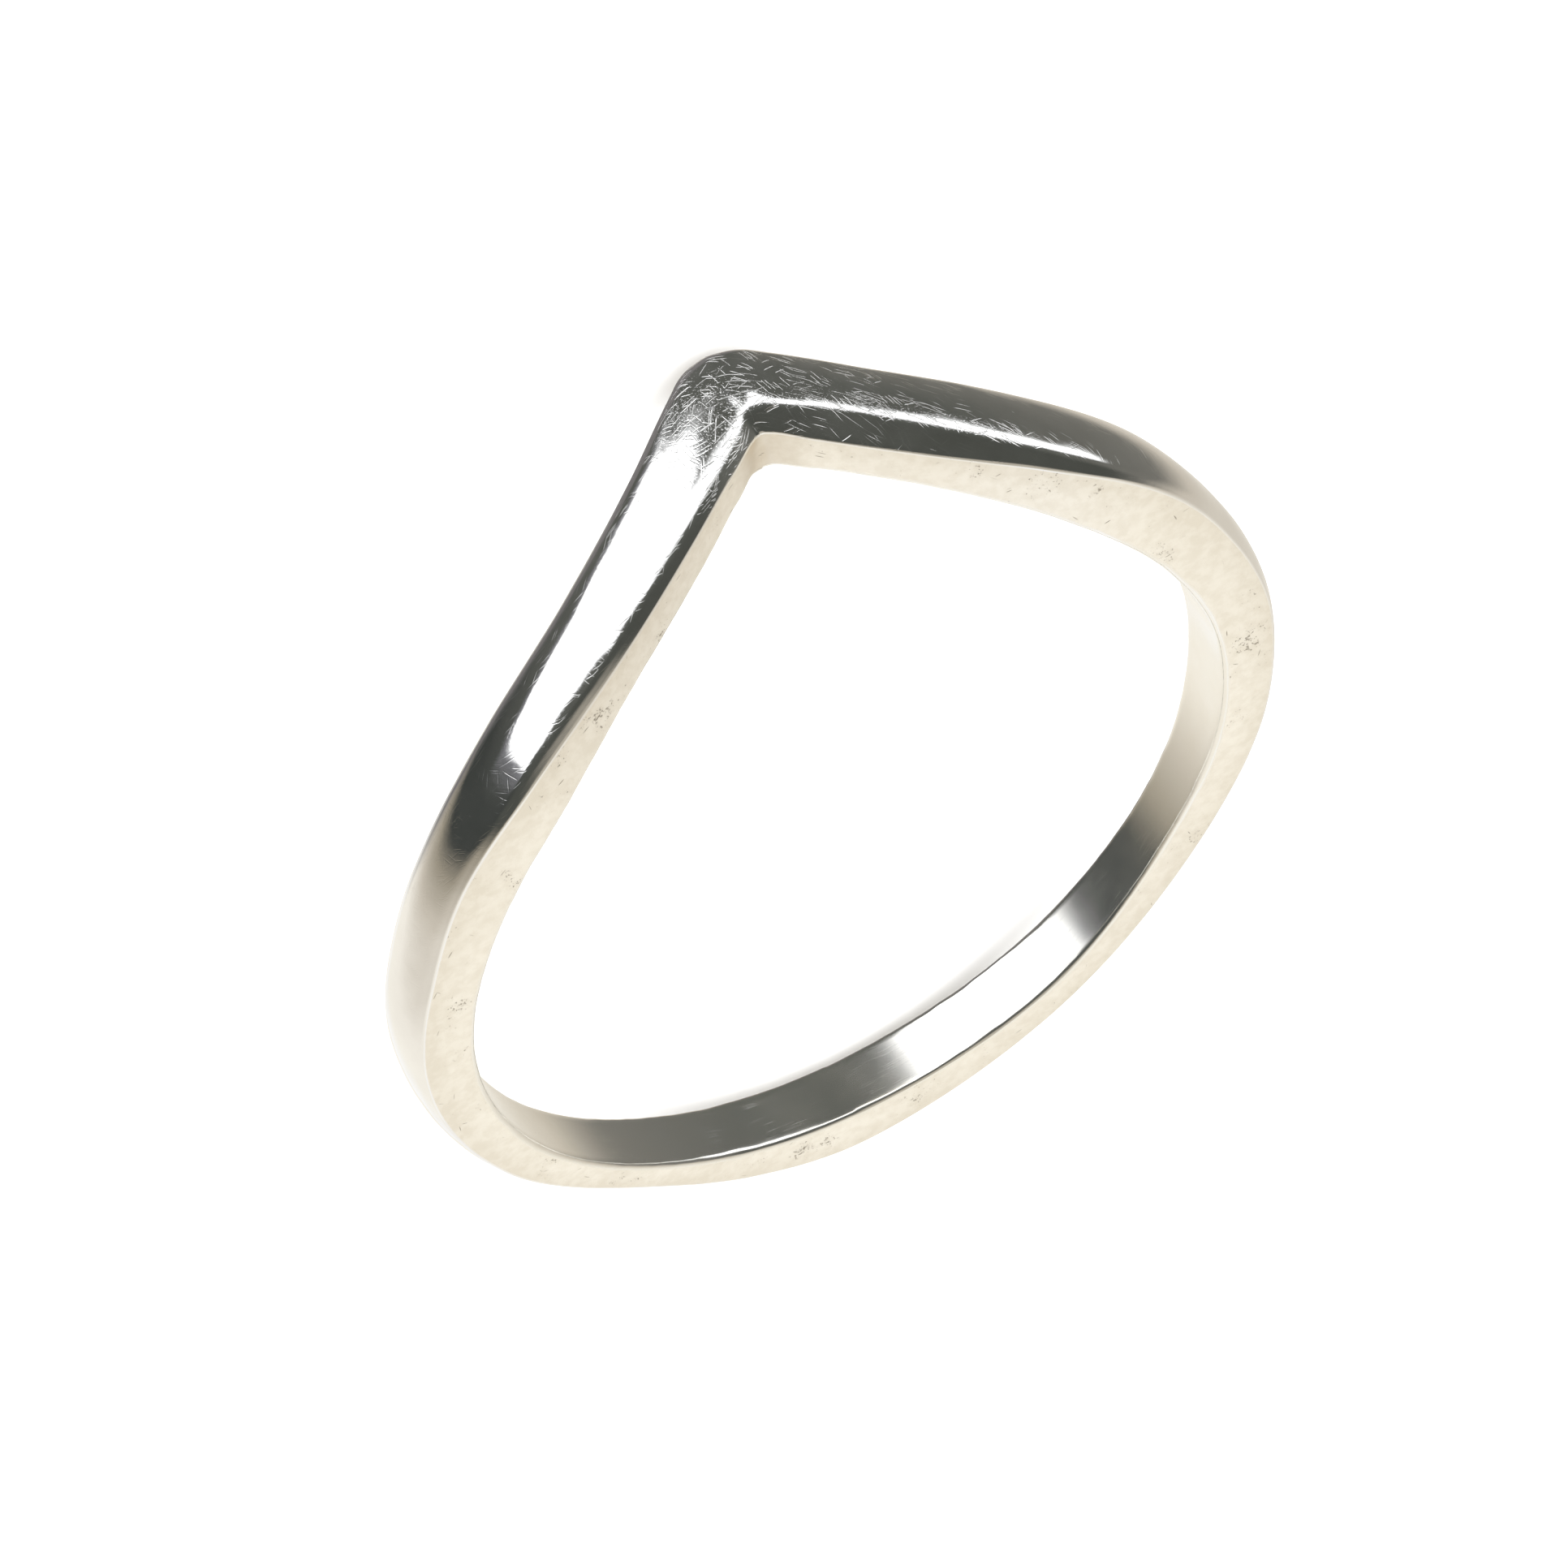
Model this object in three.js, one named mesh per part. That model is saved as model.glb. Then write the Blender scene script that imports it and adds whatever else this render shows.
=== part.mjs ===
import { Box3, BufferGeometry, Group, MathUtils, Mesh, MeshStandardMaterial, Vector3 } from 'three';
import { LoftGeometry } from 'three/addons/geometries/LoftGeometry.js';
import { mergeVertices } from 'three/addons/utils/BufferGeometryUtils.js';

// A chevron ring: one band of solid silver whose front dips to a V.
// Millimetres, +Z up. The ring is worked out about its own bore axis, with the V pointing down,
// and is then laid on the resting plane, where it stands on the tip of the V and on the shank's back.

// Driving dimensions, in millimetres
const boreDiameter = 17.3;
const vDrop = 4.7;
const bandWidth = 2.0;
const edgeThickness = 1.15;
const crownHeight = 0.36;
const bevelWidth = 0.7;
const undersideBevel = 0.2;
const tipRounding = 1.58;
const notchRounding = 0.18;
const notchBoreRounding = 0.75;
const boreEdgeBreak = 0.08;

// Share of the crown that the underside's bevel takes up
const undersideShoulder = 0.55;

// Fineness of the loft
const stationsPerArm = 44;
const stationCrowding = 1.6;
const capSegments = 4;

// The run of each arm from the V's tip, at angle 0, to the back of the shank, at 180 degrees.
// drop, width, edge, crown and bevel are shares of vDrop, bandWidth, edgeThickness, crownHeight and
// bevelWidth. reach is the share of the bore radius that the hand-formed bore has there, and shoulder
// is the share of the crown that the bevel along the V's inner edge takes up.
const columns = [ 'angle', 'drop', 'width', 'edge', 'crown', 'reach', 'bevel', 'shoulder' ];
const rightArm = [
	[ 0, 0.995, 1.02, 0.93, 1.15, 0.994, 0.66, 0.76 ],
	[ 2, 0.948, 0.99, 0.93, 1.06, 0.994, 0.53, 0.66 ],
	[ 6, 0.846, 0.96, 0.92, 0.98, 0.994, 0.39, 0.52 ],
	[ 15, 0.629, 0.92, 0.86, 1.0, 0.992, 0.26, 0.42 ],
	[ 30, 0.341, 0.9, 0.86, 1.0, 1.004, 0.21, 0.42 ],
	[ 45, 0.162, 0.87, 1.13, 0.9, 0.998, 0.25, 0.5 ],
	[ 60, 0.075, 0.76, 1.28, 0.7, 0.998, 0.28, 0.55 ],
	[ 75, 0.065, 0.8, 1.1, 0.55, 1.0, 0.28, 0.55 ],
	[ 90, 0.055, 0.8, 1.04, 0.5, 1.007, 0.28, 0.55 ],
	[ 120, 0.01, 0.73, 0.8, 0.5, 1.0, 0.28, 0.55 ],
	[ 150, 0.0, 0.7, 0.62, 0.5, 0.99, 0.28, 0.55 ],
	[ 165, 0.0, 0.7, 0.86, 0.5, 0.995, 0.28, 0.55 ],
	[ 180, 0.0, 0.7, 1.08, 0.5, 1.0, 0.28, 0.55 ],
];
const leftArm = [
	[ 0, 0.995, 1.02, 0.93, 1.15, 0.994, 0.66, 0.76 ],
	[ 2, 0.95, 1.0, 0.92, 1.18, 0.996, 0.79, 0.87 ],
	[ 6, 0.853, 1.03, 0.82, 1.24, 1.004, 0.98, 0.9 ],
	[ 15, 0.649, 1.04, 0.77, 1.25, 1.007, 0.9, 0.9 ],
	[ 30, 0.376, 1.02, 0.97, 1.07, 1.007, 0.44, 0.75 ],
	[ 45, 0.197, 0.89, 1.27, 0.85, 0.999, 0.22, 0.5 ],
	[ 60, 0.105, 0.64, 1.24, 0.7, 0.993, 0.28, 0.55 ],
	[ 75, 0.07, 0.73, 1.14, 0.55, 1.0, 0.28, 0.55 ],
	[ 90, 0.05, 0.76, 1.03, 0.5, 0.995, 0.28, 0.55 ],
	[ 120, 0.04, 0.62, 0.92, 0.5, 1.002, 0.28, 0.55 ],
	[ 150, 0.0, 0.7, 0.82, 0.5, 1.005, 0.28, 0.55 ],
	[ 165, 0.0, 0.7, 0.96, 0.5, 1.003, 0.28, 0.55 ],
	[ 180, 0.0, 0.7, 1.08, 0.5, 1.0, 0.28, 0.55 ],
];

const boreRadius = boreDiameter / 2;

// Slope of a column at one row: the three-point mean of its neighbours' slopes. A column runs level
// through the tip and the back, apart from the drop, which arrives at the tip on its own slope.
function rowSlope( arm, column, row ) {

	const slope = ( i ) => ( arm[ i + 1 ][ column ] - arm[ i ][ column ] ) / ( arm[ i + 1 ][ 0 ] - arm[ i ][ 0 ] );
	const isTip = row === 0;
	if ( isTip && columns[ column ] === 'drop' ) return 1.5 * slope( 0 ) - 0.5 * rowSlope( arm, column, 1 );
	if ( isTip || row === arm.length - 1 ) return 0;
	const before = arm[ row ][ 0 ] - arm[ row - 1 ][ 0 ];
	const after = arm[ row + 1 ][ 0 ] - arm[ row ][ 0 ];
	return ( slope( row - 1 ) * after + slope( row ) * before ) / ( before + after );

}

// The share in a named column at an angle from the tip, on a smooth cubic through the rows.
function share( arm, name, angle ) {

	const column = columns.indexOf( name );
	const next = Math.min( Math.max( arm.findIndex( ( row ) => row[ 0 ] > angle ), 1 ), arm.length - 1 );
	const row = angle >= 180 ? arm.length - 1 : next;
	const step = arm[ row ][ 0 ] - arm[ row - 1 ][ 0 ];
	const t = ( angle - arm[ row - 1 ][ 0 ] ) / step;
	const rise = 3 * t ** 2 - 2 * t ** 3;
	return arm[ row - 1 ][ column ] * ( 1 - rise ) + arm[ row ][ column ] * rise
		+ step * ( t - 2 * t ** 2 + t ** 3 ) * rowSlope( arm, column, row - 1 )
		+ step * ( t ** 3 - t ** 2 ) * rowSlope( arm, column, row );

}

// How far a corner of the V is cut back by rounding it: a parabola that meets both arms smoothly.
function cornerCut( distance, rise, rounding ) {

	const reach = rounding * Math.sin( Math.atan( rise ) );
	return distance >= reach ? 0 : rise * ( reach - distance ) ** 2 / ( 2 * reach );

}

// One cross-section of the band, in the plane through the bore axis at an angle from the tip.
// across runs from -1 at the V's inner, upper edge to +1 at its outer, lower edge. Outside, a bevel
// climbs from each side face to a shoulder, and a low cap spans the shoulders.
function sectionAt( arm, side, angle ) {

	const turn = side * MathUtils.degToRad( angle );
	const inner = boreRadius * share( arm, 'reach', angle );
	const edge = inner + edgeThickness * share( arm, 'edge', angle );
	const crown = crownHeight * share( arm, 'crown', angle );
	const middle = ( inner + edge ) / 2;

	const probeAngle = 0.5;
	const from = Math.max( angle - probeAngle, 0 );
	const to = Math.min( angle + probeAngle, 180 );
	const rise = vDrop * ( share( arm, 'drop', from ) - share( arm, 'drop', to ) )
		/ ( middle * MathUtils.degToRad( to - from ) );
	const tipRise = - vDrop * rowSlope( arm, columns.indexOf( 'drop' ), 0 )
		/ ( middle * MathUtils.degToRad( 1 ) );
	const halfWidth = bandWidth * share( arm, 'width', angle ) / 2 * Math.hypot( 1, rise );

	const point = ( radius, across ) => {

		const depth = MathUtils.clamp( ( radius - inner ) / ( edge - inner ), 0, 1 );
		const notch = MathUtils.lerp( notchBoreRounding, notchRounding, depth );
		const rounding = MathUtils.lerp( notch, tipRounding, ( across + 1 ) / 2 );
		const cut = cornerCut( middle * Math.abs( turn ), tipRise, rounding );
		const drop = vDrop * share( arm, 'drop', angle ) - cut + across * halfWidth;
		return new Vector3( radius * Math.sin( turn ), - radius * Math.cos( turn ), - drop );

	};

	// Half of the cap, from its middle (0) to one shoulder (1), on a parabola.
	const capPoint = ( shoulder, way ) => {

		const fall = ( crown - shoulder.climb ) * way ** 2;
		return point( edge + crown - fall, shoulder.across * way );

	};

	const upper = {
		across: bevelWidth * share( arm, 'bevel', angle ) / halfWidth - 1,
		climb: crown * share( arm, 'shoulder', angle ),
	};
	const lower = { across: 1 - undersideBevel / halfWidth, climb: crown * undersideShoulder };

	const broken = 1 - boreEdgeBreak / halfWidth;
	const points = [
		point( inner, - broken ),
		point( inner + boreEdgeBreak, - 1 ),
		point( edge, - 1 ),
	];
	for ( let i = capSegments; i > 0; i -- ) points.push( capPoint( upper, i / capSegments ) );
	for ( let i = 0; i <= capSegments; i ++ ) points.push( capPoint( lower, i / capSegments ) );
	points.push( point( edge, 1 ) );
	points.push( point( inner + boreEdgeBreak, 1 ) );
	points.push( point( inner, broken ) );
	return points;

}

// The whole band: sections crowd towards the tip, and one falls exactly on it.
function bandGeometry() {

	const sections = [];
	for ( let i = - stationsPerArm; i <= stationsPerArm; i ++ ) {

		const angle = 180 * ( Math.abs( i ) / stationsPerArm ) ** stationCrowding;
		const side = Math.sign( i ) || 1;
		sections.push( sectionAt( side > 0 ? rightArm : leftArm, side, angle ) );

	}

	sections[ sections.length - 1 ] = sections[ 0 ].map( ( p ) => p.clone() );
	const loft = new LoftGeometry( sections, { closed: true } );
	const surface = new BufferGeometry();
	surface.setAttribute( 'position', loft.getAttribute( 'position' ) );
	surface.setIndex( loft.getIndex() );
	const band = mergeVertices( surface, 1e-4 );
	band.computeVertexNormals();
	return band;

}

// Lowest vertex on one side of the bore axis: -1 is the front, with the V, and 1 is the back.
function lowestPoint( geometry, side ) {

	const position = geometry.getAttribute( 'position' );
	const lowest = new Vector3( 0, 0, Infinity );
	const vertex = new Vector3();
	for ( let i = 0; i < position.count; i ++ ) {

		vertex.fromBufferAttribute( position, i );
		if ( vertex.y * side > 0 && vertex.z < lowest.z ) lowest.copy( vertex );

	}

	return lowest;

}

// Lays the band down as it rests by itself: it tips back until the V's tip and the shank's back are
// equally low, then sits on z = 0 with the middle of its outline over the origin.
function layDown( geometry ) {

	const settlingSteps = 6;
	for ( let i = 0; i < settlingSteps; i ++ ) {

		const front = lowestPoint( geometry, - 1 );
		const back = lowestPoint( geometry, 1 );
		geometry.rotateX( - Math.atan2( back.z - front.z, back.y - front.y ) );

	}

	geometry.computeBoundingBox();
	const box = new Box3().copy( geometry.boundingBox );
	const middle = box.getCenter( new Vector3() );
	geometry.translate( - middle.x, - middle.y, - box.min.z );

}

const silver = new MeshStandardMaterial( { color: 0xdcd6cb, roughness: 0.18, metalness: 1 } );

const geometry = bandGeometry();
layDown( geometry );

const band = new Mesh( geometry, silver );
band.name = 'chevron_band';

const ring = new Group();
ring.add( band );

export default ring;
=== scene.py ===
import math

import bpy
import numpy as np
from mathutils import Matrix, Vector


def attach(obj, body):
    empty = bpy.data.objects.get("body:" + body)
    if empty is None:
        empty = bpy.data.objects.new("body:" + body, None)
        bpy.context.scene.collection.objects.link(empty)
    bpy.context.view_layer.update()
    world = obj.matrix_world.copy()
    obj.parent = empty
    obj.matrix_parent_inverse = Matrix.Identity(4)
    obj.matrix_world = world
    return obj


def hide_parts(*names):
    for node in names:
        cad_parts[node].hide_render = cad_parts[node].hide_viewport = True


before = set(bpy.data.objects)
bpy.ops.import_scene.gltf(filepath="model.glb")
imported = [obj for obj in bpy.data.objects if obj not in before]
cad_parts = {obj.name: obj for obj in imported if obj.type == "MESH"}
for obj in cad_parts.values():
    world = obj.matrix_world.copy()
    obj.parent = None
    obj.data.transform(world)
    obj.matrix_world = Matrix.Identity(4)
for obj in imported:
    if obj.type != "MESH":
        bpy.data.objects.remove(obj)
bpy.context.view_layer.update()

# A chevron ring: one band of solid silver whose front dips to a V. It lies on its side.
# Sizes are in millimetres until the mesh is made, which is in metres.
METRE = 0.001

# Driving sizes of the band, the same as the solid's
BORE_DIAMETER = 17.3
V_DROP = 4.7
BAND_WIDTH = 2.0
EDGE_THICKNESS = 1.15
CROWN_HEIGHT = 0.36
BEVEL_WIDTH = 0.7
UNDERSIDE_BEVEL = 0.2
UNDERSIDE_SHOULDER = 0.55
TIP_ROUNDING = 1.58
NOTCH_ROUNDING = 0.18
NOTCH_BORE_ROUNDING = 0.75
BORE_EDGE_BREAK = 0.08
BORE_RADIUS = BORE_DIAMETER / 2

# The run of each arm from the V's tip to the back of the shank, in shares of the sizes above.
# bevel and shoulder are those of the V's inner edge: its width, and how much of the crown it climbs.
COLUMNS = ["angle", "drop", "width", "edge", "crown", "reach", "bevel", "shoulder"]
RIGHT_ARM = np.array([
    [0, 0.995, 1.02, 0.93, 1.15, 0.994, 0.66, 0.76],
    [2, 0.948, 0.99, 0.93, 1.06, 0.994, 0.53, 0.66],
    [6, 0.846, 0.96, 0.92, 0.98, 0.994, 0.39, 0.52],
    [15, 0.629, 0.92, 0.86, 1.0, 0.992, 0.26, 0.42],
    [30, 0.341, 0.9, 0.86, 1.0, 1.004, 0.21, 0.42],
    [45, 0.162, 0.87, 1.13, 0.9, 0.998, 0.25, 0.5],
    [60, 0.075, 0.76, 1.28, 0.7, 0.998, 0.28, 0.55],
    [75, 0.065, 0.8, 1.1, 0.55, 1.0, 0.28, 0.55],
    [90, 0.055, 0.8, 1.04, 0.5, 1.007, 0.28, 0.55],
    [120, 0.01, 0.73, 0.8, 0.5, 1.0, 0.28, 0.55],
    [150, 0.0, 0.7, 0.62, 0.5, 0.99, 0.28, 0.55],
    [165, 0.0, 0.7, 0.86, 0.5, 0.995, 0.28, 0.55],
    [180, 0.0, 0.7, 1.08, 0.5, 1.0, 0.28, 0.55],
])
LEFT_ARM = np.array([
    [0, 0.995, 1.02, 0.93, 1.15, 0.994, 0.66, 0.76],
    [2, 0.95, 1.0, 0.92, 1.18, 0.996, 0.79, 0.87],
    [6, 0.853, 1.03, 0.82, 1.24, 1.004, 0.98, 0.9],
    [15, 0.649, 1.04, 0.77, 1.25, 1.007, 0.9, 0.9],
    [30, 0.376, 1.02, 0.97, 1.07, 1.007, 0.44, 0.75],
    [45, 0.197, 0.89, 1.27, 0.85, 0.999, 0.22, 0.5],
    [60, 0.105, 0.64, 1.24, 0.7, 0.993, 0.28, 0.55],
    [75, 0.07, 0.73, 1.14, 0.55, 1.0, 0.28, 0.55],
    [90, 0.05, 0.76, 1.03, 0.5, 0.995, 0.28, 0.55],
    [120, 0.04, 0.62, 0.92, 0.5, 1.002, 0.28, 0.55],
    [150, 0.0, 0.7, 0.82, 0.5, 1.005, 0.28, 0.55],
    [165, 0.0, 0.7, 0.96, 0.5, 1.003, 0.28, 0.55],
    [180, 0.0, 0.7, 1.08, 0.5, 1.0, 0.28, 0.55],
])

# Fineness of the visible surface
STATIONS_PER_ARM = 430
STATION_CROWDING = 1.6
BORE_STEPS = 14
BORE_BREAK_STEPS = 4
SIDE_STEPS = 8
CREASE_STEPS = 6
BEVEL_STEPS = 5
SHOULDER_STEPS = 8
CAP_STEPS = 14

# Corners of the section: how far each is rounded, and the most of the bevel that it may take
CREASE_ROUNDING = 0.05
CREASE_LIMIT = 0.3
SHOULDER_ROUNDING = 0.16
CRISP_SHOULDER_ROUNDING = 0.08
SHOULDER_LIMIT = 0.45

# Where the +X arm's crisp shoulder begins and ends, each as a stretch of millimetres from the tip
CRISP_START = (0.1, 1.2)
CRISP_END = (9.0, 14.0)

# Unevenness that files and polish leave on the metal. That of the bore's edge is a share of its break.
BEVEL_WANDER = 0.03
DOME_WANDER = 0.009
EDGE_BREAK_WANDER = 0.6
SKIN_MARGIN = 0.012

# Wear of the dome: from where to where it fades, in millimetres from the tip or from the shoulder, and
# how much of it is lost there
TIP_WEAR_START = 0.8
TIP_WEAR_END = 2.8
TIP_WEAR_END_LEFT = 5.8
TIP_WEAR_LOSS = 0.88
BEVEL_WEAR_WAY = 0.2
BEVEL_WEAR_LOSS = 0.65
SHOULDER_WEAR_END = (3.5, 8.0)
SHOULDER_WEAR_SIDE = (0.1, 0.55)
NOTCH_STAIN_END = (0.1, 1.1)


def row_slopes(arm, column):
    """Slope of a column at every row: the mean of the two neighbouring slopes, each weighted by the
    other's step. It is level at the tip and the back, but the drop reaches the tip on its own slope."""
    step = np.diff(arm[:, 0])
    secant = np.diff(arm[:, column]) / step
    slope = np.zeros(len(arm))
    slope[1:-1] = (secant[:-1] * step[1:] + secant[1:] * step[:-1]) / (step[:-1] + step[1:])
    if COLUMNS[column] == "drop":
        slope[0] = 1.5 * secant[0] - 0.5 * slope[1]
    return slope


def share(arm, name, angle):
    """A named column at every angle, on the smooth cubic that passes through the rows with row_slopes."""
    column = COLUMNS.index(name)
    value = arm[:, column]
    slope = row_slopes(arm, column)
    row = np.clip(np.searchsorted(arm[:, 0], angle, side="right"), 1, len(arm) - 1)
    step = arm[row, 0] - arm[row - 1, 0]
    t = (angle - arm[row - 1, 0]) / step
    rise = 3 * t ** 2 - 2 * t ** 3
    leaving = step * (t - 2 * t ** 2 + t ** 3) * slope[row - 1]
    arriving = step * (t ** 3 - t ** 2) * slope[row]
    return value[row - 1] * (1 - rise) + value[row] * rise + leaving + arriving


def wander(along, seed, longest, count=9):
    """A slow random line between -1 and 1: sines of shorter and shorter wavelength, each weaker than the
    one before, with seeded phases. longest is the first wavelength, in the units of along."""
    rng = np.random.default_rng(seed)
    order = np.arange(1, count + 1)
    phase = rng.uniform(0, 2 * np.pi, count)
    stretch = rng.uniform(0.85, 1.15, count)
    turns = along[..., None] / longest * order * stretch
    waves = np.sin(2 * np.pi * turns + phase) / order
    return waves.sum(axis=-1) / (1 / order).sum()


def corner_cut(distance, rise, rounding):
    """How far a corner of the V is cut back by rounding it: a parabola that meets both arms smoothly."""
    reach = rounding * np.sin(np.arctan(rise))
    return np.where(distance < reach, rise * (reach - distance) ** 2 / (2 * reach), 0)


def quarter_round(steps):
    """Shares of the two legs of a corner along a quarter circle: 1 - cos and 1 - sin of its angle."""
    turn = np.linspace(0, np.pi / 2, steps + 1)
    return 1 - np.cos(turn), 1 - np.sin(turn)


class Arm:
    """Sizes of one arm at its stations: angle is measured from the tip, side is +1 towards +X."""

    def __init__(self, table, side, angle):
        self.turn = side * np.radians(angle)
        self.inner = BORE_RADIUS * share(table, "reach", angle)
        self.edge = self.inner + EDGE_THICKNESS * share(table, "edge", angle)
        self.crown = CROWN_HEIGHT * share(table, "crown", angle)
        self.middle = (self.inner + self.edge) / 2
        self.drop = V_DROP * share(table, "drop", angle)
        probe = 0.5
        before = np.maximum(angle - probe, 0)
        after = np.minimum(angle + probe, 180)
        fall = V_DROP * (share(table, "drop", before) - share(table, "drop", after))
        self.rise = fall / (self.middle * np.radians(after - before))
        tip_slope = -V_DROP * row_slopes(table, COLUMNS.index("drop"))[0]
        self.tip_rise = tip_slope / (self.middle * np.radians(1))
        self.half_width = BAND_WIDTH * share(table, "width", angle) / 2 * np.hypot(1, self.rise)
        slow = wander(side * angle / 360, seed=11, longest=0.25)
        self.bevel = BEVEL_WIDTH * share(table, "bevel", angle) + BEVEL_WANDER * slow
        self.climb = self.crown * share(table, "shoulder", angle)


def joined_arms():
    """Both arms' sizes in one run round the ring, from the back through -X, the tip and +X to the back."""
    step = np.arange(STATIONS_PER_ARM + 1) / STATIONS_PER_ARM
    angle = 180 * step ** STATION_CROWDING
    left = Arm(LEFT_ARM, -1, angle[:0:-1])
    right = Arm(RIGHT_ARM, 1, angle[:-1])
    for name, value in vars(left).items():
        setattr(left, name, np.concatenate([value, getattr(right, name)])[:, None])
    return left


def smooth_step(value, start, end):
    """0 until value reaches start, 1 from end on, and a smooth step between."""
    t = np.clip((value - start) / (end - start), 0, 1)
    return t ** 2 * (3 - 2 * t)


def shoulder_rounding(arms):
    """How far the corner at the shoulder is rounded. It is crisper along the front of the +X arm."""
    from_tip = arms.middle * arms.turn
    crisp = smooth_step(from_tip, *CRISP_START) * (1 - smooth_step(from_tip, *CRISP_END))
    return SHOULDER_ROUNDING + (CRISP_SHOULDER_ROUNDING - SHOULDER_ROUNDING) * crisp


def bend(start, corner, end, steps):
    """A quadratic Bezier: it leaves start towards the corner and comes to end from it."""
    t = np.linspace(0, 1, steps + 1)
    return (1 - t) ** 2 * start + 2 * t * (1 - t) * corner + t ** 2 * end


def outside_half(arms, bevel, climb):
    """Half of the band's outside, from a side face to the middle, as radius and across. The bevel is a
    straight line from the edge to the shoulder, climb higher, and the cap is a parabola from there up
    to the crown. Each of the two corners is a bend whose corner is where the lines that it joins would
    meet."""
    shoulder = 1 - bevel / arms.half_width
    length = np.hypot(bevel, climb)
    crease_part = np.minimum(CREASE_ROUNDING / length, CREASE_LIMIT)
    shoulder_part = np.minimum(shoulder_rounding(arms) / length, SHOULDER_LIMIT)
    bevel_part = crease_part + (1 - shoulder_part - crease_part) * np.linspace(0, 1, BEVEL_STEPS + 1)
    bevel_radius = arms.edge + climb * bevel_part
    bevel_across = 1 - (1 - shoulder) * bevel_part

    foot = arms.edge - crease_part * length
    crease_radius = bend(foot, arms.edge, bevel_radius[:, :1], CREASE_STEPS)
    crease_across = bend(1, 1, bevel_across[:, :1], CREASE_STEPS)

    cap_end = shoulder - shoulder_part * length / arms.half_width
    cap_across = cap_end * np.linspace(1, 0, CAP_STEPS + 1)
    cap_radius = arms.edge + arms.crown - (arms.crown - climb) * (cap_across / shoulder) ** 2

    bevel_slope = climb / (1 - shoulder)
    cap_slope = 2 * (arms.crown - climb) * cap_end / shoulder ** 2
    reach = arms.edge + bevel_slope - cap_radius[:, :1] - cap_slope * cap_end
    meeting = np.clip(reach / (bevel_slope - cap_slope), cap_end, bevel_across[:, -1:])
    meeting_radius = arms.edge + bevel_slope * (1 - meeting)
    shoulder_radius = bend(bevel_radius[:, -1:], meeting_radius, cap_radius[:, :1], SHOULDER_STEPS)
    shoulder_across = bend(bevel_across[:, -1:], meeting, cap_end, SHOULDER_STEPS)

    runs = [(crease_radius, crease_across), (bevel_radius, bevel_across),
            (shoulder_radius, shoulder_across), (cap_radius, cap_across)]
    radius = np.concatenate([run[0][:, :-1] for run in runs], axis=1)
    across = np.concatenate([run[1][:, :-1] for run in runs], axis=1)
    crest = arms.edge + arms.crown
    return np.concatenate([radius, crest], axis=1), np.concatenate([across, 0 * crest], axis=1)


def section_grid(arms):
    """The band's section at every station, as radius, across and zone. It runs over the bore, up the
    lower side face, back over the outside and down the upper side face, each stretch without its last
    point."""
    leg, lean = quarter_round(BORE_BREAK_STEPS)
    unevenness = 1 + wander(arms.middle * arms.turn, seed=7, longest=6.0, count=24)
    edge_break = BORE_EDGE_BREAK * (1 + EDGE_BREAK_WANDER * unevenness)
    broken = edge_break / arms.half_width
    bore_across = (1 - broken) * np.linspace(-1, 1, BORE_STEPS + 1)
    break_radius = arms.inner + edge_break * leg
    break_across = 1 - broken * lean
    under_radius, under_across = outside_half(arms, UNDERSIDE_BEVEL, arms.crown * UNDERSIDE_SHOULDER)
    upper_radius, upper_across = outside_half(arms, arms.bevel, arms.climb)
    wall = np.linspace(0, 1, SIDE_STEPS + 1)
    foot = arms.inner + edge_break
    under_wall = foot + (under_radius[:, :1] - foot) * wall
    upper_wall = foot + (upper_radius[:, :1] - foot) * wall
    level = np.ones_like(under_wall)
    stretches = [
        ("bore", arms.inner + 0 * bore_across, bore_across),
        ("bore", break_radius, break_across),
        ("side", under_wall, level),
        ("dome", under_radius, under_across),
        ("dome", upper_radius[:, ::-1], -upper_across[:, ::-1]),
        ("side", upper_wall[:, ::-1], -level),
        ("bore", break_radius[:, ::-1], -break_across[:, ::-1]),
    ]
    radius = np.concatenate([stretch[1][:, :-1] for stretch in stretches], axis=1)
    across = np.concatenate([stretch[2][:, :-1] for stretch in stretches], axis=1)
    zones = np.concatenate([[stretch[0]] * (stretch[1].shape[1] - 1) for stretch in stretches])
    return radius, across, zones


def hand_worked(arms, radius, across):
    """The same radii after filing and polishing by hand: the outside is taken down by a slow and a quick
    wander, whose waves run slantwise across the band, and never built up."""
    outside = np.clip((radius - arms.inner) / (arms.edge - arms.inner), 0, 1)
    along = arms.middle * arms.turn
    slow_slant, quick_slant = 0.8, -1.3
    slow_part, quick_part = 0.6, 0.4
    slow = wander(along + slow_slant * across, seed=3, longest=11.0, count=7)
    quick = wander(along + quick_slant * across, seed=5, longest=3.1, count=4)
    taken = SKIN_MARGIN + DOME_WANDER * (1 + slow_part * slow + quick_part * quick)
    return radius - taken * outside


def standing_points(arms, radius, across):
    """Points of the ring about its bore axis: the radius turns about Z, and the height is the drop of
    the V, less what rounds its corners, plus the place across the band."""
    outward = np.clip((radius - arms.inner) / (arms.edge - arms.inner), 0, 1)
    notch = NOTCH_BORE_ROUNDING + (NOTCH_ROUNDING - NOTCH_BORE_ROUNDING) * outward
    rounding = notch + (TIP_ROUNDING - notch) * (across + 1) / 2
    cut = corner_cut(arms.middle * np.abs(arms.turn), arms.tip_rise, rounding)
    drop = arms.drop - cut + across * arms.half_width
    return np.stack([radius * np.sin(arms.turn), -radius * np.cos(arms.turn), -drop], axis=-1)


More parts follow.
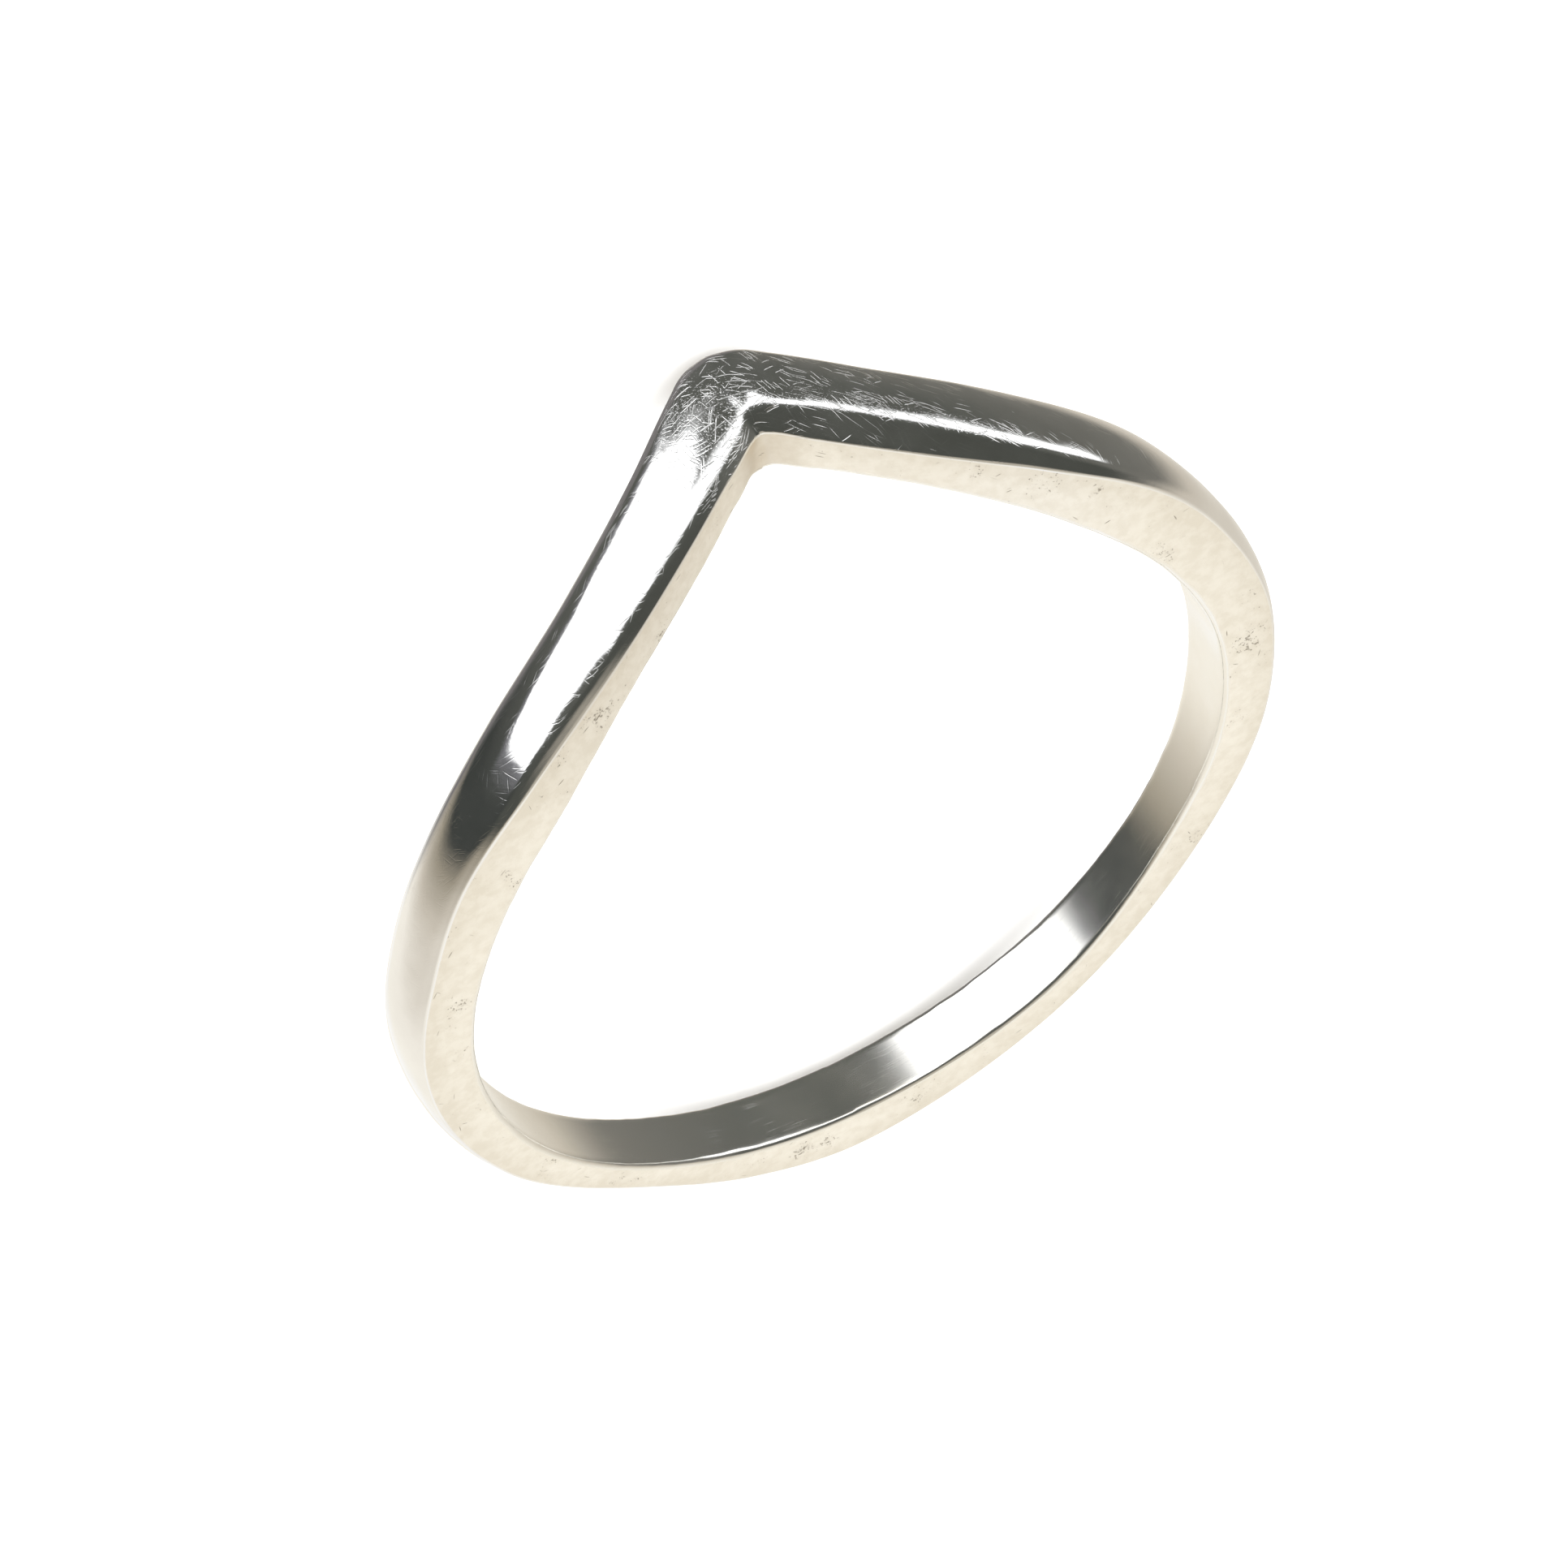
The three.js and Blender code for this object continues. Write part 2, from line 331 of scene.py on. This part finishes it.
def lie_down(points):
    """Tips the ring back until the V's tip and the back of the shank are equally low, then stands it on
    z = 0 with the middle of its outline over the origin."""
    settling_steps = 6
    for _ in range(settling_steps):
        front = points[points[:, 1] < 0]
        back = points[points[:, 1] > 0]
        low_front = front[front[:, 2].argmin()]
        low_back = back[back[:, 2].argmin()]
        tilt = -math.atan2(low_back[2] - low_front[2], low_back[1] - low_front[1])
        points = points @ np.array(Matrix.Rotation(tilt, 3, "X")).T
    low, high = points.min(axis=0), points.max(axis=0)
    middle = (low + high) / 2
    return points - [middle[0], middle[1], low[2]]


def skin_map(grid):
    """Millimetres along the band at every station, measured on the crest from the tip, and across its
    skin at every point of a section, measured at the tip. Each has one more value that closes it."""
    closed = np.concatenate([grid, grid[:, :1]], axis=1)
    closed = np.concatenate([closed, closed[:1]], axis=0)
    tip = STATIONS_PER_ARM
    crest = closed[:, grid.shape[1] // 2]
    along = np.concatenate([[0], np.cumsum(np.linalg.norm(np.diff(crest, axis=0), axis=1))])
    across = np.concatenate([[0], np.cumsum(np.linalg.norm(np.diff(closed[tip], axis=0), axis=1))])
    return along - along[tip], across


def worn_parts(arms, radius, along, over, zones):
    """Three masks on the points. handled is 1 at the V's tip and along the -X arm's shoulder, and weaker
    away from them. notch is 1 at the inner corner of the V. wall goes from 0 at the bore to 1 at the
    outside's edge."""
    from_tip = np.abs(along[:-1, None])
    outside = np.flatnonzero(zones == "dome")
    shoulder = over[outside[-1] - CREASE_STEPS - BEVEL_STEPS - SHOULDER_STEPS // 2]
    inward = over[None, :-1] - shoulder
    bevel_side_nearness = 3.0
    sideways = np.where(inward > 0, bevel_side_nearness * inward, -inward)
    beside_shoulder = 1 - smooth_step(sideways, *SHOULDER_WEAR_SIDE)
    left_arm = smooth_step(-along[:-1, None], 0.0, 1.0)
    on_arm = beside_shoulder * left_arm * (1 - smooth_step(from_tip, *SHOULDER_WEAR_END))
    tip_wear_end = TIP_WEAR_END + (TIP_WEAR_END_LEFT - TIP_WEAR_END) * left_arm
    at_tip = 1 - TIP_WEAR_LOSS * smooth_step(from_tip, TIP_WEAR_START, tip_wear_end)
    at_tip = at_tip * (1 - BEVEL_WEAR_LOSS * smooth_step(inward, 0.0, BEVEL_WEAR_WAY))
    return {
        "handled": np.maximum(at_tip, on_arm),
        "notch": (1 - smooth_step(from_tip, *NOTCH_STAIN_END)) * np.ones_like(radius),
        "wall": np.clip((radius - arms.inner) / (arms.edge - arms.inner), 0, 1),
    }


def closed_faces(rows, columns):
    """Vertex numbers of the four corners of every face of a grid that closes both ways."""
    row, column = np.meshgrid(np.arange(rows), np.arange(columns), indexing="ij")
    next_row, next_column = (row + 1) % rows, (column + 1) % columns
    corners = [
        row * columns + column,
        row * columns + next_column,
        next_row * columns + next_column,
        next_row * columns + column,
    ]
    return np.stack(corners, axis=-1).reshape(-1, 4)


def lay_skin_map(mesh, along, over):
    """The UV map skin: each corner of a face gets its millimetres along the band and over its section."""
    row, column = np.meshgrid(np.arange(len(along) - 1), np.arange(len(over) - 1), indexing="ij")
    corner_rows = np.stack([row, row, row + 1, row + 1], axis=-1).ravel()
    corner_columns = np.stack([column, column + 1, column + 1, column], axis=-1).ravel()
    skin = np.stack([along[corner_rows], over[corner_columns]], axis=-1)
    mesh.uv_layers.new(name="skin").data.foreach_set("uv", skin.ravel())


def silver_band(finishes):
    """The whole ring as one closed mesh, with one finish for each zone of its section, a skin map and
    the masks of its worn parts."""
    arms = joined_arms()
    radius, across, zones = section_grid(arms)
    radius = hand_worked(arms, radius, across)
    grid = standing_points(arms, radius, across)
    rows, columns = radius.shape
    points = lie_down(grid.reshape(-1, 3)) * METRE
    faces = closed_faces(rows, columns)

    mesh = bpy.data.meshes.new("silver_band")
    mesh.from_pydata(points, [], faces)
    for finish in finishes.values():
        mesh.materials.append(finish)
    numbers = np.array([list(finishes).index(zone) for zone in zones])
    mesh.polygons.foreach_set("material_index", np.tile(numbers, rows))
    mesh.polygons.foreach_set("use_smooth", np.ones(len(faces), dtype=bool))

    along, over = skin_map(grid)
    lay_skin_map(mesh, along, over)
    for name, value in worn_parts(arms, radius, along, over, zones).items():
        layer = mesh.attributes.new(name, "FLOAT", "POINT")
        layer.data.foreach_set("value", value.ravel())
    mesh.update()

    band = bpy.data.objects.new("silver_band", mesh)
    bpy.context.collection.objects.link(band)
    return band


class Graph:
    """Adds nodes to one tree. A value given to an input is a constant or another node's output."""

    def __init__(self, tree):
        self.tree = tree

    def add(self, kind, inputs=None, **settings):
        """A node of one kind with its settings and inputs."""
        node = self.tree.nodes.new(kind)
        for name, value in settings.items():
            setattr(node, name, value)
        for name, value in (inputs or {}).items():
            self.feed(node.inputs[name], value)
        return node

    def feed(self, socket, value):
        """Links an output to an input, or sets the input to a constant."""
        if isinstance(value, bpy.types.NodeSocket):
            self.tree.links.new(value, socket)
        else:
            socket.default_value = value

    def math(self, operation, *values):
        """The result of one operation on numbers."""
        return self.add("ShaderNodeMath", dict(enumerate(values)), operation=operation).outputs[0]

    def vector(self, operation, *values):
        """The result of one operation on vectors."""
        node = self.add("ShaderNodeVectorMath", dict(enumerate(values)), operation=operation)
        return node.outputs["Vector"]

    def fade(self, value, start, end, low=0.0, high=1.0):
        """low until value reaches start, high from end on, and a smooth step between."""
        inputs = {"Value": value, "From Min": start, "From Max": end, "To Min": low, "To Max": high}
        return self.add("ShaderNodeMapRange", inputs, interpolation_type="SMOOTHSTEP").outputs["Result"]

    def between(self, value, low, high, soft):
        """1 between low and high and 0 outside, with edges as wide as soft on both sides."""
        above = self.fade(self.math("SUBTRACT", value, low), -soft, soft)
        below = self.fade(self.math("SUBTRACT", value, high), -soft, soft, low=1.0, high=0.0)
        return self.math("MULTIPLY", above, below)

    def blend(self, factor, first, second):
        """Colour that turns from first to second with the factor."""
        node = self.add("ShaderNodeMix", data_type="RGBA")
        self.feed(node.inputs[0], factor)
        self.feed(node.inputs[6], first)
        self.feed(node.inputs[7], second)
        return node.outputs[2]

    def noise(self, vector, scale, detail=2.0, roughness=0.5):
        """A cloudy noise around 0.5, whose largest clouds are about 1 / scale of the vector's unit wide."""
        inputs = {"Vector": vector, "Scale": scale, "Detail": detail, "Roughness": roughness}
        return self.add("ShaderNodeTexNoise", inputs).outputs["Fac"]

    def attribute(self, name):
        """One of the masks on the mesh's points."""
        return self.add("ShaderNodeAttribute", attribute_name=name).outputs["Fac"]

    def use(self, group, inputs):
        """A node group with its own values, as one output."""
        node = self.add("ShaderNodeGroup", node_tree=group)
        for name, value in inputs.items():
            self.feed(node.inputs[name], value)
        return node.outputs[0]

    def relief(self, height, depth):
        """Normal of a relief whose height goes from 0 to 1 over depth, in metres."""
        return self.add("ShaderNodeBump", {"Distance": depth, "Height": height}).outputs[0]


def effect_group(name, inputs, output):
    """An empty node group with named inputs, given as (name, kind, value), and one named output."""
    tree = bpy.data.node_groups.new(name, "ShaderNodeTree")
    for label, kind, value in inputs:
        socket = tree.interface.new_socket(label, in_out="INPUT", socket_type=kind)
        if value is not None:
            socket.default_value = value
    tree.interface.new_socket(output, in_out="OUTPUT", socket_type="NodeSocketFloat")
    graph = Graph(tree)
    entry = graph.add("NodeGroupInput")
    leave = graph.add("NodeGroupOutput")
    return graph, entry.outputs, leave.inputs[0]


def hairline_group():
    """Short straight scratches. The skin is bent by a slow noise, turned, and cut into long random cells.
    The middle of a cell is a needle, and a share of the cells has one. Length and Spacing are those of
    the cells, in millimetres, and Fineness is how much of a cell its needle takes."""
    graph, given, leave = effect_group("hairline_scratches", [
        ("Skin", "NodeSocketVector", None),
        ("Length", "NodeSocketFloat", 0.6),
        ("Spacing", "NodeSocketFloat", 0.07),
        ("Turn", "NodeSocketFloat", 0.0),
        ("Fineness", "NodeSocketFloat", 0.25),
        ("Share", "NodeSocketFloat", 0.4),
    ], "Mask")
    noise_middle = (0.5, 0.5, 0.5)
    bend_strength = (0.4, 0.4, 0.0)
    core_part = 0.4
    drift = graph.add("ShaderNodeTexNoise", {"Vector": given["Skin"], "Scale": 0.5, "Detail": 1.0})
    pull = graph.vector("SUBTRACT", drift.outputs["Color"], noise_middle)
    bent = graph.vector("MULTIPLY_ADD", pull, bend_strength, given["Skin"])
    turned = graph.add("ShaderNodeVectorRotate", {"Vector": bent, "Angle": given["Turn"]},
                       rotation_type="Z_AXIS").outputs[0]
    size = graph.add("ShaderNodeCombineXYZ", {"X": given["Length"], "Y": given["Spacing"], "Z": 1.0})
    cell = graph.add("ShaderNodeTexVoronoi", {"Vector": graph.vector("DIVIDE", turned, size.outputs[0]),
                                              "Scale": 1.0}, voronoi_dimensions="2D").outputs
    core = graph.math("MULTIPLY", given["Fineness"], core_part)
    needle = graph.fade(cell["Distance"], core, given["Fineness"], low=1.0, high=0.0)
    luck = graph.add("ShaderNodeSeparateXYZ", {0: cell["Color"]}).outputs["X"]
    bar = graph.math("SUBTRACT", 1.0, given["Share"])
    graph.feed(leave, graph.math("MULTIPLY", needle, graph.fade(luck, bar, 1.0)))
    return graph.tree


def pit_group():
    """Small uneven pits: the tops of a fine noise, where a slow noise is high too. Their sum has its
    middle at 1 and has to clear a bar, which Amount lowers."""
    graph, given, leave = effect_group("small_pits", [
        ("Place", "NodeSocketVector", None),
        ("Scale", "NodeSocketFloat", 6000.0),
        ("Amount", "NodeSocketFloat", 0.3),
    ], "Mask")
    highest_bar, softness = 1.4, 0.08
    fine = graph.noise(given["Place"], given["Scale"], detail=3.0, roughness=0.7)
    cluster = graph.noise(given["Place"], scale=900.0, detail=3.0, roughness=0.6)
    bar = graph.math("SUBTRACT", highest_bar, given["Amount"])
    above = graph.math("SUBTRACT", graph.math("ADD", fine, cluster), bar)
    graph.feed(leave, graph.fade(above, 0.0, softness))
    return graph.tree


def cloud_group():
    """Uneven patches, as rubbing and a trace of tarnish leave them: a noise with its middle stretched."""
    graph, given, leave = effect_group("uneven_patches", [
        ("Place", "NodeSocketVector", None),
        ("Scale", "NodeSocketFloat", 400.0),
        ("Contrast", "NodeSocketFloat", 0.2),
    ], "Mask")
    noise_middle = 0.5
    patches = graph.noise(given["Place"], given["Scale"], detail=4.0, roughness=0.6)
    start = graph.math("SUBTRACT", noise_middle, given["Contrast"])
    end = graph.math("ADD", noise_middle, given["Contrast"])
    graph.feed(leave, graph.fade(patches, start, end))
    return graph.tree


def new_finish(name):
    """A metal with an empty tree: the material, its graph and its shader's inputs."""
    material = bpy.data.materials.new(name)
    material.use_nodes = True
    material.node_tree.nodes.clear()
    graph = Graph(material.node_tree)
    shader = graph.add("ShaderNodeBsdfPrincipled", {"Metallic": 1.0})
    exit_node = graph.add("ShaderNodeOutputMaterial")
    graph.feed(exit_node.inputs["Surface"], shader.outputs[0])
    return material, graph, shader.inputs


def scratched(graph, group, layers):
    """The strongest of several layers of hairlines, each given as length, spacing, turn, fineness, share."""
    skin = graph.add("ShaderNodeUVMap", uv_map="skin").outputs[0]
    names = ["Length", "Spacing", "Turn", "Fineness", "Share"]
    masks = [graph.use(group, {"Skin": skin, **dict(zip(names, layer))}) for layer in layers]
    mask = masks[0]
    for other in masks[1:]:
        mask = graph.math("MAXIMUM", mask, other)
    return mask


# Colours that the silver reflects: clean, and where it is tarnished, duller, stained, pitted or yellowed.
# The side's duller colour is also painted shade towards the outside edge of its faces.
DOME_CLEAN = (0.95, 0.945, 0.93, 1)
DOME_TARNISHED = (0.89, 0.88, 0.865, 1)
SIDE_CLEAN = (0.98, 0.95, 0.885, 1)
SIDE_DULL_AND_SHADED = (0.84, 0.795, 0.71, 1)
SIDE_STAINED = (0.55, 0.46, 0.34, 1)
SIDE_PITTED = (0.42, 0.38, 0.32, 1)
BORE_CLEAN = (0.95, 0.94, 0.91, 1)
BORE_YELLOWED = (0.91, 0.885, 0.82, 1)


def polished_dome(groups):
    """Bright polish, with hairlines, a fine frost and a trace of haze where the ring is handled most."""
    material, graph, shader = new_finish("polished_dome")
    place = graph.add("ShaderNodeTexCoord").outputs["Object"]
    handled = graph.attribute("handled")
    hairlines = scratched(graph, groups["hairlines"], [
        (1.30, 0.062, 0.38, 0.22, 0.60),
        (1.05, 0.056, 0.20, 0.22, 0.50),
        (0.95, 0.060, -0.45, 0.22, 0.42),
        (0.75, 0.056, 1.30, 0.24, 0.36),
        (0.60, 0.052, 0.75, 0.26, 0.50),
        (3.20, 0.190, 0.34, 0.10, 0.65),
    ])
    marks = graph.math("MULTIPLY", hairlines, handled)
    patches = graph.use(groups["clouds"], {"Place": place, "Scale": 1500.0, "Contrast": 0.2})
    least_haze, handling_haze = 0.03, 0.06
    haze_strength = graph.math("MULTIPLY_ADD", handled, handling_haze, least_haze)
    haze = graph.math("MULTIPLY", patches, haze_strength)
    specks = graph.fade(graph.noise(place, scale=24000.0, roughness=0.6), 0.54, 0.74)
    frost = graph.math("MULTIPLY", specks, handled)
    polish_roughness, frost_roughness, mark_roughness = 0.05, 0.12, 0.20
    hazy = graph.math("ADD", haze, polish_roughness)
    frosted = graph.math("MULTIPLY_ADD", frost, frost_roughness, hazy)
    graph.feed(shader["Roughness"], graph.math("MULTIPLY_ADD", marks, mark_roughness, frosted))
    clean = graph.use(groups["clouds"], {"Place": place, "Scale": 500.0, "Contrast": 0.25})
    graph.feed(shader["Base Color"], graph.blend(clean, DOME_TARNISHED, DOME_CLEAN))
    orange_peel = graph.noise(place, scale=3500.0)
    peel_height, frost_height = 0.3, 0.2
    cuts = graph.math("MULTIPLY_ADD", frost, frost_height, marks)
    height = graph.math("MULTIPLY_ADD", orange_peel, peel_height, cuts)
    graph.feed(shader["Normal"], graph.relief(height, depth=5.5e-6))
    return material


def satin_side(groups):
    """Flat faces left satin by fine paper: pitted, duller in patches, with painted shade that darkens them
    towards the outside edge, and brown in the notch.
    """
    material, graph, shader = new_finish("satin_side")
    place = graph.add("ShaderNodeTexCoord").outputs["Object"]
    pits = graph.use(groups["pits"], {"Place": place, "Scale": 15000.0, "Amount": 0.16})
    nicks = scratched(graph, groups["hairlines"], [
        (1.2, 0.12, 0.2, 0.10, 0.08),
        (0.8, 0.10, -0.9, 0.10, 0.06),
    ])
    dents = graph.math("MAXIMUM", pits, nicks)
    patches = graph.use(groups["clouds"], {"Place": place, "Scale": 420.0, "Contrast": 0.22})
    # Painted shade: the side faces are coloured darker towards their outside edge, next to the crease with
    # the dome, on top of their random duller patches.
    outward = graph.fade(graph.attribute("wall"), 0.35, 1.0)
    mottle = graph.use(groups["clouds"], {"Place": place, "Scale": 3600.0, "Contrast": 0.16})
    mottle_part, patch_part, edge_shade_part = 0.45, 0.4, 0.5
    uneven = graph.math("MULTIPLY_ADD", mottle, mottle_part, graph.math("MULTIPLY", patches, patch_part))
    dull_and_shade = graph.math("MULTIPLY_ADD", outward, edge_shade_part, uneven)
    tone = graph.blend(dull_and_shade, SIDE_CLEAN, SIDE_DULL_AND_SHADED)
    least_stain, patch_stain = 0.2, 0.4
    stain_strength = graph.math("MULTIPLY_ADD", patches, patch_stain, least_stain)
    stain = graph.math("MULTIPLY", graph.attribute("notch"), stain_strength)
    tone = graph.blend(stain, tone, SIDE_STAINED)
    graph.feed(shader["Base Color"], graph.blend(dents, tone, SIDE_PITTED))
    graph.feed(shader["Roughness"], graph.fade(patches, 0.0, 1.0, low=0.42, high=0.34))
    grain = graph.noise(place, scale=22000.0, detail=3.0, roughness=0.6)
    waves = graph.noise(place, scale=2600.0)
    grain_height, wave_height = 0.35, 1.4
    height = graph.math("MULTIPLY_ADD", grain, grain_height, graph.math("MULTIPLY", waves, wave_height))
    graph.feed(shader["Normal"], graph.relief(graph.math("SUBTRACT", height, dents), depth=6e-6))
    return material


def rubbed_bore(groups):
    """The inside: polished long ago, rubbed along its run since, and left a little yellow."""
    material, graph, shader = new_finish("rubbed_bore")
    place = graph.add("ShaderNodeTexCoord").outputs["Object"]
    marks = scratched(graph, groups["hairlines"], [
        (2.2, 0.07, 0.04, 0.20, 0.50),
        (1.5, 0.06, -0.08, 0.20, 0.50),
    ])
    patches = graph.use(groups["clouds"], {"Place": place, "Scale": 380.0, "Contrast": 0.25})
    graph.feed(shader["Base Color"], graph.blend(patches, BORE_YELLOWED, BORE_CLEAN))
    polish = graph.fade(patches, 0.0, 1.0, low=0.22, high=0.15)
    mark_roughness = 0.06
    graph.feed(shader["Roughness"], graph.math("MULTIPLY_ADD", marks, mark_roughness, polish))
    graph.feed(shader["Normal"], graph.relief(marks, depth=4e-7))
    return material


# The studio that the metal mirrors. Directions are an azimuth from the front, +X positive, and a height,
# both in degrees. WALLS gives the colour of the walls at some azimuths.
WHITE = (1, 1, 1, 1)
CREAM = (0.95, 0.915, 0.83, 1)
SAND = (0.93, 0.89, 0.81, 1)
STONE = (0.60, 0.55, 0.47, 1)
SHADE = (0.185, 0.180, 0.160, 1)
DARK = (0.098, 0.101, 0.090, 1)
LINTEL = (0.068, 0.071, 0.062, 1)
BLACKBOARD = (0.046, 0.050, 0.046, 1)
EARTH = (0.34, 0.305, 0.24, 1)
WINDOW = (1.7, 1.72, 1.75, 1)
CEILING = (0.47, 0.43, 0.36, 1)
TABLE = (0.19, 0.18, 0.18, 1)
GLOW = (0.23, 0.23, 0.25, 1)
AMBIENT = (1.9, 1.9, 1.9, 1)
WALLS = [(-160, CREAM), (-108, STONE), (-88, SHADE), (-45, DARK), (40, DARK), (66, BLACKBOARD),
         (82, BLACKBOARD), (94, EARTH), (115, STONE), (138, SAND), (158, CREAM), (180, WHITE)]


def room_colour(graph, azimuth, height):
    """Cream walls behind, dark ones in front, a dark lintel over the front, a ceiling and a table."""
    ramp = graph.add("ShaderNodeValToRGB", {"Fac": graph.math("MULTIPLY_ADD", azimuth, 1 / 360, 0.5)})
    stops = ramp.color_ramp.elements
    while len(stops) < len(WALLS):
        stops.new(0.5)
    for stop, (turn, colour) in zip(stops, WALLS):
        stop.position = turn / 360 + 0.5
        stop.color = colour
    front = graph.fade(graph.math("ABSOLUTE", azimuth), 75.0, 100.0, low=1.0, high=0.0)
    lintel = graph.math("MULTIPLY", front, graph.fade(height, 30.0, 46.0))
    room = graph.blend(lintel, ramp.outputs["Color"], LINTEL)
    room = graph.blend(graph.fade(height, 56.0, 80.0), room, CEILING)
    return graph.blend(graph.fade(height, -56.0, -70.0), room, TABLE)


def window_light(graph, azimuth, height, margin, soft):
    """A tall window in front: its sides lean in below, and its top steps down towards +X. margin widens
    it on its +X side and below."""
    lower_lean = graph.fade(height, -52.0, -12.0, low=22.0, high=-2.0)
    upper_lean = graph.fade(height, -12.0, 6.0, low=0.0, high=-6.0)
    left_edge = graph.math("ADD", lower_lean, upper_lean)
    right_edge = graph.math("ADD", graph.fade(height, -52.0, -18.0, low=30.0, high=53.0), margin)
    bottom = -47.0 - margin
    top = graph.fade(azimuth, 6.0, 24.0, low=28.0, high=22.0)
    sides = graph.between(azimuth, left_edge, right_edge, soft)
    return graph.math("MULTIPLY", sides, graph.between(height, bottom, top, soft=2.0))


def strip_light(graph, azimuth, height):
    """A low strip of light that runs on from the window towards -X, clear above and hazy below."""
    bottom = graph.fade(azimuth, -42.0, -18.0, low=-6.0, high=10.0)
    top = graph.fade(azimuth, -60.0, -40.0, low=20.0, high=26.0)
    ends = graph.between(azimuth, -65.0, 2.0, soft=4.0)
    return graph.math("MULTIPLY", ends, graph.between(height, bottom, top, soft=5.0))


def studio_world():
    """Plain pale light for everything but mirrored rays, which see the studio."""
    world = bpy.data.worlds.new("studio")
    bpy.context.scene.world = world
    world.use_nodes = True
    world.node_tree.nodes.clear()
    graph = Graph(world.node_tree)
    direction = graph.add("ShaderNodeTexCoord").outputs["Generated"]
    axis = graph.add("ShaderNodeSeparateXYZ", {0: direction}).outputs
    forward = graph.math("MULTIPLY", axis["Y"], -1.0)
    azimuth = graph.math("DEGREES", graph.math("ARCTAN2", axis["X"], forward))
    height = graph.math("DEGREES", graph.math("ARCSINE", axis["Z"]))
    window = window_light(graph, azimuth, height, margin=0.0, soft=2.0)
    glow = window_light(graph, azimuth, height, margin=4.0, soft=6.0)
    light = graph.math("MAXIMUM", window, strip_light(graph, azimuth, height))
    room = graph.blend(glow, room_colour(graph, azimuth, height), GLOW)
    studio = graph.blend(light, room, WINDOW)
    mirrored = graph.add("ShaderNodeLightPath").outputs["Is Glossy Ray"]
    seen = graph.blend(mirrored, AMBIENT, studio)
    background = graph.add("ShaderNodeBackground", {"Color": seen})
    exit_node = graph.add("ShaderNodeOutputWorld")
    graph.feed(exit_node.inputs["Surface"], background.outputs[0])


def pale_floor():
    """A large level sheet at z = 0, in metres. The metal mirrors the studio instead of it."""
    half = 1.5
    mesh = bpy.data.meshes.new("floor")
    corners = [(-half, -half, 0), (half, -half, 0), (half, half, 0), (-half, half, 0)]
    mesh.from_pydata(corners, [], [(0, 1, 2, 3)])
    floor = bpy.data.objects.new("floor", mesh)
    bpy.context.collection.objects.link(floor)
    material = bpy.data.materials.new("pale_sheet")
    material.use_nodes = True
    shader = material.node_tree.nodes["Principled BSDF"]
    shader.inputs["Base Color"].default_value = (0.93, 0.93, 0.93, 1)
    shader.inputs["Roughness"].default_value = 0.9
    mesh.materials.append(material)
    floor.visible_glossy = False
    floor.visible_shadow = False


def soft_lamp(name, place, size, power):
    """A square area light that looks at the ring. place and size are in metres, and power in watts."""
    lamp = bpy.data.lights.new(name, "AREA")
    lamp.size = size
    lamp.energy = power
    holder = bpy.data.objects.new(name, lamp)
    holder.location = place
    holder.rotation_euler = (-Vector(place)).to_track_quat("-Z", "Y").to_euler()
    holder.visible_glossy = False
    bpy.context.collection.objects.link(holder)


# The camera, fitted to the photograph: angles in degrees, sizes in millimetres
CAMERA_AZIMUTH = 23.926
CAMERA_ELEVATION = 44.562
CAMERA_ROLL = 138.027
CAMERA_DISTANCE = 170.668
CAMERA_TARGET = (0.507, -0.525, 1.939)
CAMERA_LENS = 194.888
SENSOR_WIDTH = 36.0


def photo_camera():
    """Looks at its target from an azimuth, measured from the front towards +X, and an elevation, and is
    rolled about its own line of sight."""
    azimuth, elevation = math.radians(CAMERA_AZIMUTH), math.radians(CAMERA_ELEVATION)
    level = math.cos(elevation)
    back = Vector((math.sin(azimuth) * level, -math.cos(azimuth) * level, math.sin(elevation)))
    right = Vector((math.cos(azimuth), math.sin(azimuth), 0))
    up = back.cross(right)
    upright = Matrix((right, up, back)).transposed()
    turned = upright @ Matrix.Rotation(math.radians(CAMERA_ROLL), 3, "Z")
    view = bpy.data.cameras.new("photo_camera")
    view.lens = CAMERA_LENS
    view.sensor_width = SENSOR_WIDTH
    view.clip_start = 0.01
    view.clip_end = 10.0
    camera = bpy.data.objects.new("photo_camera", view)
    place = (Vector(CAMERA_TARGET) + back * CAMERA_DISTANCE) * METRE
    camera.matrix_world = Matrix.Translation(place) @ turned.to_4x4()
    bpy.context.collection.objects.link(camera)
    bpy.context.scene.camera = camera


effects = {"hairlines": hairline_group(), "pits": pit_group(), "clouds": cloud_group()}
finishes = {
    "bore": rubbed_bore(effects),
    "side": satin_side(effects),
    "dome": polished_dome(effects),
}
band = silver_band(finishes)
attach(band, "root")
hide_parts("chevron_band")

studio_world()
pale_floor()
soft_lamp("overhead_lamp", place=(-0.15, -0.2, 0.5), size=0.5, power=1.0)
photo_camera()
bpy.context.scene.view_settings.view_transform = "Standard"
